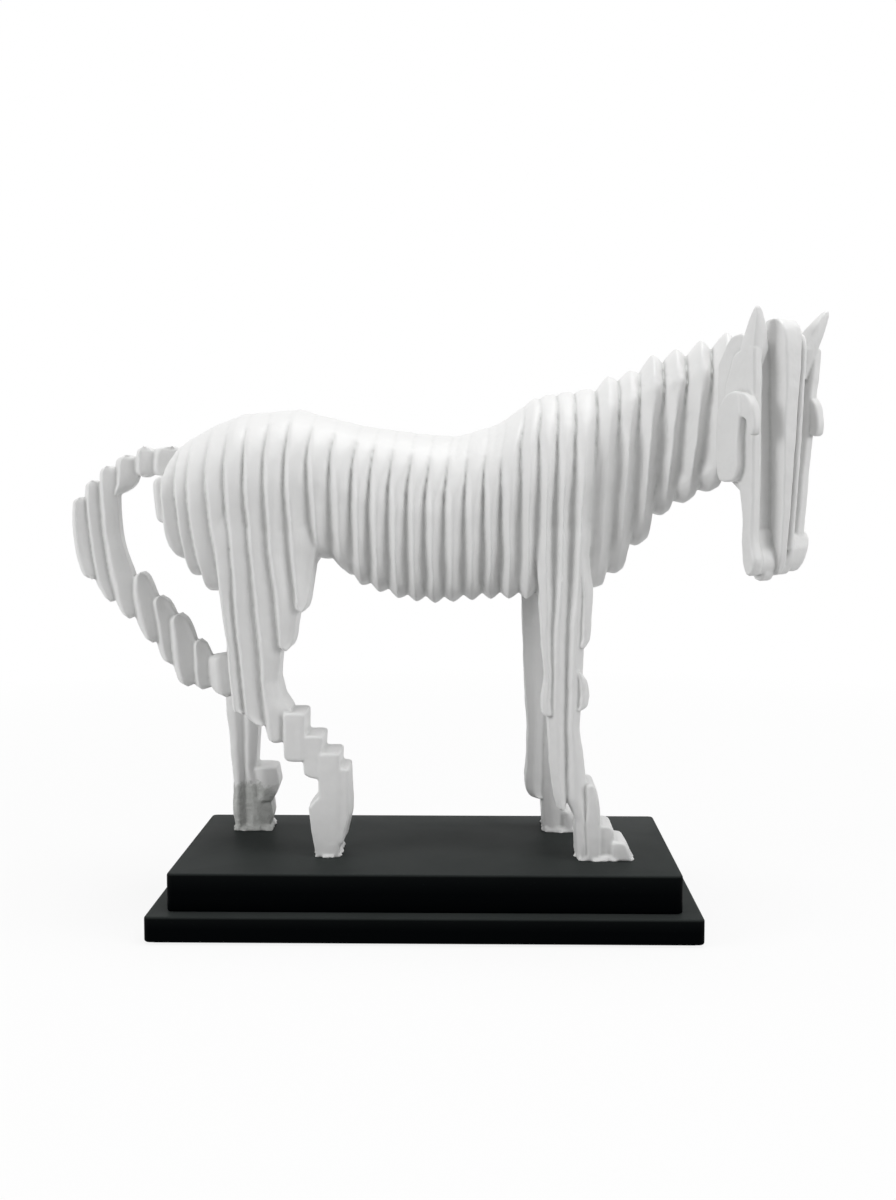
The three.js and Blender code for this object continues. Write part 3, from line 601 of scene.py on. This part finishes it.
def horse_slices():
    """The slices of the legs, which run up under the ribs of the body."""
    left_thigh = [
        [(x + left_thigh_back, max(height, left_thigh_low)) for x, height in points]
        for points in thigh_slices
    ]
    right_hind_top, left_hind_top = into_body(right_hind[0]), into_body(left_hind[1])
    right_fore_top, left_fore_top = into_body(right_fore[0]), into_body(left_fore[1])
    thigh = {"flute": (3.8, 0.22, 0.8), "merge": True, "end": 2, "corner": 1.6}
    shin = {"flute": (2.6, 0.45, 0.5), "merge": True, "corner": 1}
    fore = {"flute": (3.8, 0.46, 0.6), "merge": True, "corner": 1.2}
    made = slices(thigh_slices, right_hind, stagger=0, place=right_hind_top, **thigh)
    made += slices(hind_steps, right_hind, rim=1.4, corner=1.2)
    made += slices(left_thigh, left_hind, stagger=0, place=left_hind_top, **thigh)
    made += slices(left_hind_slices, left_hind, place=left_hind_top, **shin)
    made += slices(fore_slices, right_fore, stagger=0, place=right_fore_top, **fore)
    made += slices(fore_foot, right_fore, stagger=1.2, rim=1.6, corner=1.6)
    made += slices(left_fore_slices, left_fore, place=left_fore_top, **shin)
    made.append(plank(rump_slice, mid_y - rump_reach, mid_y + rump_reach, rim=2.5, end=2.5, corner=3))
    return made + [glue_skirt(*foot) for foot in feet]


def head_pieces():
    """The slices of the head, with its ears."""
    made = [
        plank(points, right, left, rim=1.5, corner=3, place=on_head(lean, taper, (right + left) / 2))
        for points, right, left, lean, taper in head_slices
    ]
    return made + [ear(*shape) for shape in ears]


def join(*made):
    """Makes one object of several."""
    only(made[0])
    for other in made:
        other.select_set(True)
    bpy.ops.object.join()
    return bpy.context.object


def mark_hollows(made):
    """Stores at each point how hollow the skin is there, from 0 where it is flat or full to 1 in a groove."""
    mesh = made.data
    count = len(mesh.vertices)
    spots, facing, ends = np.empty(count * 3), np.empty(count * 3), np.empty(len(mesh.edges) * 2, int)
    mesh.vertices.foreach_get("co", spots)
    mesh.vertex_normals.foreach_get("vector", facing)
    mesh.edges.foreach_get("vertices", ends)
    spots, facing, (first, last) = spots.reshape(-1, 3), facing.reshape(-1, 3), ends.reshape(-1, 2).T
    way = spots[last] - spots[first]
    way /= np.linalg.norm(way, axis=1)[:, None] + tiny * MM

    def gathered(at_first, at_last):
        return np.bincount(first, at_first, count) + np.bincount(last, at_last, count)

    links = np.maximum(gathered(np.ones(len(first)), np.ones(len(first))), 1)
    hollow = gathered((way * facing[first]).sum(axis=1), -(way * facing[last]).sum(axis=1)) / links
    for _ in range(hollow_rounds):
        hollow = (hollow + gathered(hollow[last], hollow[first]) / links) / 2
    layer = mesh.attributes.new("hollow", "FLOAT", "POINT")
    layer.data.foreach_set("value", np.clip(hollow * hollow_gain, 0, 1))


def cloud_texture(name, size, depth):
    """A slow noise for surfaces that were finished by hand."""
    made = bpy.data.textures.new(name, "CLOUDS")
    made.noise_scale, made.noise_depth = size * MM, depth
    return made


# How hand work strays from true: a slow wander along the body and small lumps all over, in millimetres.
unevenness = [(cloud_texture("wander", 22, 1), "X", 1.3), (cloud_texture("lumps", 5, 2), "NORMAL", 0.3)]


def fuse(made, size):
    """Casts overlapping slices into one skin and softens it, as sanding and paint do."""
    use(made, "REMESH", mode="VOXEL", voxel_size=size * MM)
    use(made, "SMOOTH", factor=0.5, iterations=smooth_rounds)
    for texture, direction, strength in unevenness:
        use(made, "DISPLACE", texture=texture, direction=direction, strength=strength * MM, mid_level=0.5)
    mark_hollows(made)
    return made


def copy_of(made, name):
    only(made)
    bpy.ops.object.duplicate()
    return named(bpy.context.object, name)


def cut(made, spot, towards):
    """Cuts off what lies beyond a plane and closes the cut."""
    only(made)
    bpy.ops.object.mode_set(mode="EDIT")
    bpy.ops.mesh.select_all(action="SELECT")
    bpy.ops.mesh.bisect(
        plane_co=Vector(spot) * MM, plane_no=towards, use_fill=True, clear_outer=True, threshold=1e-6
    )
    return done()


def loose_parts(made):
    """Takes an object apart where it doesn't hang together."""
    only(made)
    bpy.ops.object.mode_set(mode="EDIT")
    bpy.ops.mesh.separate(type="LOOSE")
    done()
    return bpy.context.selected_objects


def thin_out(made):
    """Keeps a piece under its number of triangles."""
    made.data.calc_loop_triangles()
    count = len(made.data.loop_triangles)
    if count > most_triangles:
        use(made, "DECIMATE", ratio=most_triangles / count)
    return made


whole = fuse(join(body(), *horse_slices()), voxel)

neck_slope = neck_groove * along(fanning, neck_groove)
neck_spot = (neck_groove - neck_slope * (flank_height + plinth_top), 0, 0)
neck_plane = Vector((1, 0, -neck_slope))
forward = Vector((math.cos(math.radians(head_turn)), -math.sin(math.radians(head_turn)), 0))
nape_spot = Vector((*head_at, 0)) - forward * nape_depth
hip_spot = (0, 0, leg_cut + plinth_top)

front = cut(copy_of(whole, "front"), neck_spot, -neck_plane)
trunk = cut(whole, neck_spot, neck_plane)
head = named(thin_out(fuse(join(*head_pieces()), head_voxel)), "head_casting")
neck = named(thin_out(cut(front, nape_spot, forward)), "neck_casting")
legs = cut(copy_of(trunk, "legs"), hip_spot, (0, 0, 1))
trunk = named(thin_out(cut(trunk, hip_spot, (0, 0, -1))), "trunk_casting")
castings = {"trunk": trunk, "neck": neck, "head": head}

tail_shape = {"flute": (3.2, 0.26, 0.85), "end": 2.6, "corner": 5}
leg_castings = {}
for piece in loose_parts(legs):
    corners = np.array([piece.matrix_world @ Vector(c) for c in piece.bound_box])
    centre = corners.mean(axis=0) / MM
    side = "right" if centre[1] < mid_y else "left"
    end = "fore" if centre[0] > 0 else "hind"
    leg_castings[f"{side}_{end}_leg"] = named(piece, f"{side}_{end}_leg_casting")

tail = fuse(join(*slices(tail_slices, tail_sides, stagger=1.2, **tail_shape)), tail_voxel)
castings["tail"] = named(tail, "tail_casting")
castings.update(leg_castings)

# The plinth.

# Corners and edges of the boards in millimetres, each with the number of steps that round it, and how
# steep a side has to be to count as a corner, or how level to count as an edge.
board_corner, corner_rounding = 3, 6
board_edge, edge_rounding = 1.1, 4
steep, level = 0.9, 0.1

# The room round the hardware, how far a drill runs past a face, and the screws' shanks and heads.
hole_sides = 32
clearance = 0.3 * MM
past = 1 * MM
screw_shank = 1.75 * MM
screw_head_depth = 3 * MM
felt_steps = (100, 56)


def bored(made, holes):
    """Bores round holes, given as (x, y, radius, lowest, highest), through a board."""
    for x, y, radius, low, high in holes:
        bpy.ops.mesh.primitive_cylinder_add(
            vertices=hole_sides, radius=radius, depth=high - low, location=(x, y, (low + high) / 2)
        )
        drill = bpy.context.object
        use(made, "BOOLEAN", operation="DIFFERENCE", object=drill, solver="EXACT")
        bpy.data.objects.remove(drill)
    return made


def board(name, node, holes):
    """A board with rounded corners and softened edges."""
    low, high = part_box(node)
    bpy.ops.mesh.primitive_cube_add(size=1, location=(low + high) / 2, scale=high - low)
    made = named(bpy.context.object, name)
    bpy.ops.object.transform_apply(location=True, rotation=True, scale=True)
    bpy.ops.object.mode_set(mode="EDIT")
    for upright, amount, steps in ((True, board_corner, corner_rounding), (False, board_edge, edge_rounding)):
        bpy.ops.mesh.select_mode(type="EDGE")
        bpy.ops.mesh.select_all(action="DESELECT")
        mesh = bmesh.from_edit_mesh(made.data)
        for edge in mesh.edges:
            rise = abs((edge.verts[0].co - edge.verts[1].co).normalized().z)
            rim = len({round(face.normal.z) for face in edge.link_faces}) == 2
            edge.select = rise > steep if upright else (rise < level and rim)
        bmesh.update_edit_mesh(made.data)
        bpy.ops.mesh.bevel(offset=amount * MM, segments=steps, affect="EDGES")
    return bored(done(), holes)


def round_hole(node, low, high):
    """The hole that a round node stands in."""
    lowest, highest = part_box(node)
    centre = (lowest + highest) / 2
    return centre.x, centre.y, (highest.x - lowest.x) / 2 + clearance, low, high


ends = [f"{side}_{end}" for side in ("right", "left") for end in ("hind", "fore")]
screws = [f"tier_screw_{i}" for i in range(1, 5)]
lower_low, lower_high = (corner.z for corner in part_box("lower_tier"))
upper_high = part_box("upper_tier")[1].z
bolt_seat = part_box("right_hind_washer")[1].z + clearance
screw_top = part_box("tier_screw_1")[1].z + clearance
screw_spots = [round_hole(screw, 0, 0)[:2] for screw in screws]
shank = screw_shank + clearance

stud_holes = [round_hole(f"{end}_stud", lower_low - past, upper_high + past) for end in ends]
lower_holes = stud_holes + [round_hole(f"{end}_washer", lower_low - past, bolt_seat) for end in ends]
lower_holes += [round_hole(screw, lower_low - past, lower_low + screw_head_depth) for screw in screws]
lower_holes += [(x, y, shank, lower_low - past, lower_high + past) for x, y in screw_spots]
upper_holes = stud_holes + [(x, y, shank, lower_high - past, screw_top) for x, y in screw_spots]
upper_board = board("upper_board", "upper_tier", upper_holes)
lower_board = board("lower_board", "lower_tier", lower_holes)

felt_low, felt_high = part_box("felt_sheet")
felt_size = felt_high - felt_low
bpy.ops.mesh.primitive_grid_add(x_subdivisions=felt_steps[0], y_subdivisions=felt_steps[1], size=1)
felt = named(bpy.context.object, "felt_pad")
felt.scale = felt_size
felt.location = (felt_low + felt_high) / 2
felt.location.z = felt_low.z
bpy.ops.object.transform_apply(location=True, rotation=True, scale=True)
use(felt, "SOLIDIFY", thickness=felt_size.z, offset=1)

# Materials.

# The places of the colours among the sockets of a Mix node.
mix_first, mix_second, mix_result = 6, 7, 2


class Shade:
    """A socket of a material's nodes that can be used in arithmetic."""

    def __init__(self, tree, socket=None):
        self.tree = tree
        self.socket = socket

    def node(self, kind, settings=None, sockets=None, out=0):
        """Adds a node: its settings first, then the values or links of its sockets."""
        made = self.tree.nodes.new(kind)
        for name, value in (settings or {}).items():
            setattr(made, name, value)
        for name, value in (sockets or {}).items():
            if isinstance(value, Shade):
                self.tree.links.new(value.socket, made.inputs[name])
            else:
                made.inputs[name].default_value = value
        return Shade(self.tree, made.outputs[out])

    def maths(self, operation, first, second):
        return self.node("ShaderNodeMath", {"operation": operation}, {0: first, 1: second})

    def __add__(self, other):
        return self.maths("ADD", self, other)

    def __mul__(self, other):
        return self.maths("MULTIPLY", self, other)

    def __sub__(self, other):
        return self.maths("SUBTRACT", self, other)

    def __rsub__(self, other):
        return self.maths("SUBTRACT", other, self)

    __radd__ = __add__
    __rmul__ = __mul__


def material(name):
    """A new material, its tree and its surface shader."""
    made = bpy.data.materials.new(name)
    made.use_nodes = True
    tree = made.node_tree
    shader = next(n for n in tree.nodes if n.type == "BSDF_PRINCIPLED")
    return made, Shade(tree), shader


def feed(tree, shader, name, value):
    """Sets a socket of the surface shader to a value, or links a Shade to it."""
    if isinstance(value, Shade):
        tree.tree.links.new(value.socket, shader.inputs[name])
    else:
        shader.inputs[name].default_value = value


def noise(tree, spot, scale, detail=3.0, roughness=0.5):
    sockets = {"Vector": spot, "Scale": scale, "Detail": detail, "Roughness": roughness}
    return tree.node("ShaderNodeTexNoise", {}, sockets)


def mixed(tree, factor, first, second):
    """A colour between two, each of which is a Shade or three numbers."""
    first, second = (c if isinstance(c, Shade) else (*c, 1) for c in (first, second))
    sockets = {"Factor": factor, mix_first: first, mix_second: second}
    return tree.node("ShaderNodeMix", {"data_type": "RGBA"}, sockets, out=mix_result)


def spot_of(tree, scale=(1, 1, 1), move=(0, 0, 0)):
    """Where a point lies on the object, with a pattern's scale and move."""
    coordinates = tree.node("ShaderNodeTexCoord", out="Object")
    return tree.node("ShaderNodeMapping", {}, {"Vector": coordinates, "Scale": scale, "Location": move})


def nearness(tree, spot):
    """1 at the origin of the given coordinates, falling to 0 at a distance of 1."""
    return tree.node("ShaderNodeTexGradient", {"gradient_type": "SPHERICAL"}, {"Vector": spot}, out="Fac")


def bumped(tree, shader, height, strength, reach):
    """Roughens a surface by a pattern, of up to the given reach in millimetres."""
    sockets = {"Strength": strength, "Distance": reach * MM, "Height": height}
    feed(tree, shader, "Normal", tree.node("ShaderNodeBump", {}, sockets))


# The middle and the reach of the rough grey patch on the left hind foot, in metres.
patch_at = (-0.094, 0.027, 0.038)
patch_size = 0.025
patch_raggedness, patch_edge, patch_relief = 0.4, 7.0, 2.5


def painted_resin():
    made, tree, shader = material("painted_resin")
    thin_paint, full_paint = (0.78, 0.78, 0.775), (0.84, 0.84, 0.835)
    # Painted shade: the grooves are darkened towards this grey where the skin is hollow.
    groove_shade, groove_shade_share = (0.4, 0.405, 0.395), 0.6
    dark_scrape, light_scrape = (0.36, 0.37, 0.355), (0.66, 0.67, 0.65)
    spot = spot_of(tree)
    streaky = spot_of(tree, (1, 1, 0.12))
    paint = mixed(tree, noise(tree, spot, 55.0, 4.0), thin_paint, full_paint)
    # How hollow the skin is sets how much painted shade the grooves get.
    hollow = tree.node("ShaderNodeAttribute", {"attribute_name": "hollow"}, out="Fac")
    groove_shaded = mixed(tree, hollow * groove_shade_share, paint, groove_shade)
    to_patch = spot_of(tree, (1 / patch_size,) * 3, tuple(-c / patch_size for c in patch_at))
    rough_noise = noise(tree, spot, 420.0, 5.0, 0.65)
    ragged = nearness(tree, to_patch) + rough_noise * patch_raggedness - patch_raggedness
    worn = tree.node("ShaderNodeClamp", {}, {"Value": ragged * patch_edge})
    scraped = mixed(tree, rough_noise, dark_scrape, light_scrape)
    feed(tree, shader, "Base Color", mixed(tree, worn, groove_shaded, scraped))
    feed(tree, shader, "Roughness", noise(tree, spot, 90.0) * 0.16 + 0.36)
    waves = noise(tree, streaky, 260.0, 3.0) * 0.6 + noise(tree, spot, 900.0, 2.0) * 0.15
    bumped(tree, shader, waves + worn * rough_noise * patch_relief, strength=0.7, reach=0.45)
    return made


def black_lacquer():
    """Black lacquer, lighter on what faces up: partly a film of dust, partly a painted sheen."""
    made, tree, shader = material("black_lacquer")
    # The lighter colour stands partly for dust and partly for painted sheen from the light above.
    clean, dust_and_sheen_colour = (0.0004, 0.0008, 0.0011), (0.031, 0.035, 0.034)
    spot = spot_of(tree)
    cloud = noise(tree, spot, 28.0, 6.0, 0.6)
    facing = tree.node("ShaderNodeNewGeometry", out="Normal")
    upward = tree.node("ShaderNodeSeparateXYZ", {}, {"Vector": facing}, out="Z")
    # Faces turned up are lightened: partly dust, partly painted sheen.
    dust_and_sheen = tree.maths("MAXIMUM", upward, 0.0) * (cloud * 0.5 + 0.75)
    feed(tree, shader, "Base Color", mixed(tree, dust_and_sheen, clean, dust_and_sheen_colour))
    feed(tree, shader, "Roughness", cloud * 0.2 + 0.4)
    feed(tree, shader, "Specular IOR Level", 0.015)
    bumped(tree, shader, noise(tree, spot, 1400.0, 2.0), strength=0.25, reach=0.1)
    return made


def plated_steel():
    made, tree, shader = material("plated_steel")
    dull_zinc, bright_zinc = (0.55, 0.56, 0.58), (0.66, 0.66, 0.67)
    spot = spot_of(tree)
    feed(tree, shader, "Base Color", mixed(tree, noise(tree, spot, 300.0), dull_zinc, bright_zinc))
    feed(tree, shader, "Metallic", 1.0)
    feed(tree, shader, "Roughness", noise(tree, spot, 700.0) * 0.2 + 0.28)
    return made


def pressed_felt():
    made, tree, shader = material("pressed_felt")
    deep_fibre, top_fibre = (0.008, 0.008, 0.009), (0.04, 0.04, 0.043)
    fibres = noise(tree, spot_of(tree, (1, 1.6, 1)), 1500.0, 5.0, 0.7)
    feed(tree, shader, "Base Color", mixed(tree, fibres, deep_fibre, top_fibre))
    feed(tree, shader, "Roughness", 0.95)
    bumped(tree, shader, fibres, strength=0.8, reach=0.3)
    return made


resin, lacquer, steel, felt_cloth = painted_resin(), black_lacquer(), plated_steel(), pressed_felt()


def finish_piece(piece, look, node):
    """Gives a piece its material and its body, and hides the node that it stands in for."""
    only(piece)
    bpy.ops.object.transform_apply(location=True, rotation=True, scale=True)
    piece.data.materials.clear()
    piece.data.materials.append(look)
    bpy.ops.object.shade_smooth_by_angle(angle=math.radians(smooth_angle))
    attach(piece, "root")
    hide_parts(node)


for node, piece in castings.items():
    finish_piece(piece, resin, node)
finish_piece(upper_board, lacquer, "upper_tier")
finish_piece(lower_board, lacquer, "lower_tier")
finish_piece(felt, felt_cloth, "felt_sheet")
for name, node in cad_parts.items():
    if any(word in name for word in ("pin", "stud", "washer", "nut", "screw")):
        for slot in node.material_slots:
            slot.material = steel

# Floor, light and camera.

floor_size = 12
floor_shade = 0.48
seen_floor = (0.9, 0.9, 0.9)
shade_round_plinth = 0.16
sky_light = 0.26


def seen_directly(tree):
    """1 for what the camera sees, straight or mirrored, and 0 for the light that falls on the figurine."""
    rays = "ShaderNodeLightPath"
    return tree.maths("MAXIMUM", tree.node(rays, out="Is Camera Ray"), tree.node(rays, out="Is Glossy Ray"))


def white_floor():
    """White where it is seen, a little darker round the plinth, and grey for the light that it throws up."""
    made, tree, shader = material("floor_white")
    direct = seen_directly(tree)
    feed(tree, shader, "Base Color", mixed(tree, direct, (floor_shade,) * 3, seen_floor))
    feed(tree, shader, "Roughness", 0.9)
    feed(tree, shader, "Specular IOR Level", 0.1)
    white = tree.node("ShaderNodeEmission", {}, {"Color": (1, 1, 1, 1), "Strength": 1.0})
    lit = direct * (1.0 - nearness(tree, spot_of(tree)) * shade_round_plinth)
    plain = Shade(tree.tree, shader.outputs[0])
    surface = tree.node("ShaderNodeMixShader", {}, {0: lit, 1: plain, 2: white})
    output = next(n for n in tree.tree.nodes if n.type == "OUTPUT_MATERIAL")
    feed(tree, output, "Surface", surface)
    return made


bpy.ops.mesh.primitive_plane_add(size=floor_size, location=(0, 0, 0))
floor = bpy.context.object
floor.name = "floor"
floor.data.materials.append(white_floor())

world = bpy.data.worlds.new("studio")
bpy.context.scene.world = world
world.use_nodes = True
sky = Shade(world.node_tree)
background = next(n for n in world.node_tree.nodes if n.type == "BACKGROUND")
feed(sky, background, "Strength", seen_directly(sky) * (1 - sky_light) + sky_light)
feed(sky, background, "Color", (1, 1, 1, 1))

aim = Vector((0, 0, 0.15))


def lamp(name, spot, size, watts):
    """A round lamp that shines at the middle of the figurine."""
    bpy.ops.object.light_add(type="AREA", location=spot)
    made = bpy.context.object
    made.name = name
    made.data.shape = "DISK"
    made.data.size = size
    made.data.energy = watts
    made.rotation_mode = "QUATERNION"
    made.rotation_quaternion = (aim - Vector(spot)).to_track_quat("-Z", "Y")


lamp("top_light", spot=(0.25, 0, 1.5), size=1.2, watts=13)
lamp("left_light", spot=(-1.4, -0.65, 0.55), size=0.9, watts=11)
lamp("right_light", spot=(1.4, -0.7, 0.6), size=0.9, watts=8)

bpy.context.scene.view_settings.view_transform = "Standard"

# The camera that was fitted to the corners of the plinth in the photo.
camera_spot = (0.024835, -0.775914, 0.213681)
camera_tilt, camera_turn = math.pi / 2 - 0.0771, 0.0192
bpy.ops.object.camera_add(location=camera_spot, rotation=(camera_tilt, 0, camera_turn))
camera = bpy.context.object
camera.data.sensor_width = 36
camera.data.lens = 46.876
camera.data.clip_start = 0.01
bpy.context.scene.camera = camera
